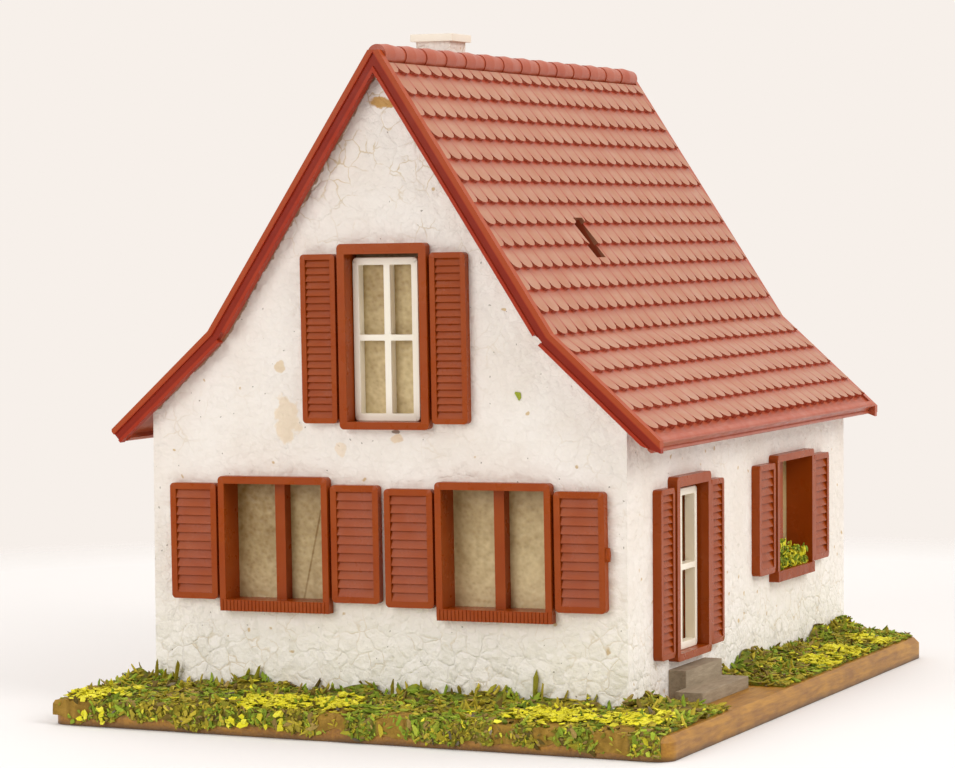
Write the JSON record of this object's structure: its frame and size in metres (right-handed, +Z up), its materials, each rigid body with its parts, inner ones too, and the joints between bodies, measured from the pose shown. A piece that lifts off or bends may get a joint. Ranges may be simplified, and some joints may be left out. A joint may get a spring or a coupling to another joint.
{
  "type": "money box",
  "caption": "Model-house money box: rendered gable walls, flared tile roof with a coin slot, louvred shutters, chimney, steps and a turfed garden board with a stopper underneath.",
  "frame": {"origin": "middle of the garden board's underside", "axes": "front gable towards -Y, door side towards +X, +Z up"},
  "size_m": [0.2284, 0.2803, 0.2427],
  "materials": {
    "board": "bare fibre board, satin",
    "render": "board under cracked white render",
    "roof": "red-brown moulding, semi-gloss",
    "tiles": "red-brown moulded tiles with a pale bloom",
    "shutters": "orange-brown moulding, satin",
    "ivory": "ivory moulding, satin",
    "film": "mottled tan curtain film",
    "posts": "plain softwood",
    "steps": "grey paint",
    "turf": "dyed sawdust scatter",
    "stopper": "soft black plastic"
  },
  "bodies": {
    "house": {"base_board": "board", "front_gable_wall": "render", "rear_gable_wall": "render", "left_wall": "render", "right_wall": "render", "front_left_post": "posts", "front_right_post": "posts", "rear_left_post": "posts", "rear_right_post": "posts", "roof_left": "roof", "roof_right": "roof", "roof_left_tiles": "tiles", "roof_right_tiles": "tiles", "front_left_verge_board": "roof", "front_right_verge_board": "roof", "rear_left_verge_board": "roof", "rear_right_verge_board": "roof", "left_fascia": "roof", "right_fascia": "roof", "ridge_cap": "roof", "chimney_stack": "render", "chimney_cap": "ivory", "front_gable_window": "shutters", "front_left_window": "shutters", "front_right_window": "shutters", "door_surround": "shutters", "right_window": "shutters", "rear_gable_window": "shutters", "rear_left_window": "shutters", "rear_right_window": "shutters", "left_front_window": "shutters", "left_rear_window": "shutters", "front_gable_sash": "ivory", "door_sash": "ivory", "rear_gable_sash": "ivory", "front_gable_film": "film", "front_lower_film": "film", "door_film": "film", "right_window_film": "film", "rear_gable_film": "film", "rear_lower_film": "film", "left_front_film": "film", "left_rear_film": "film", "upper_step": "steps", "lower_step": "steps", "turf_front": "turf", "turf_left": "turf", "turf_right_front": "turf", "turf_right_rear": "turf", "sill_plants": "turf"},
    "stopper": {"stopper": "stopper"}
  },
  "joints": [
    {"name": "stopper_slide", "type": "slide", "parent": "house", "child": "stopper", "axis": [0, 0, -1], "range_m": [0, 0.02]}
  ]
}
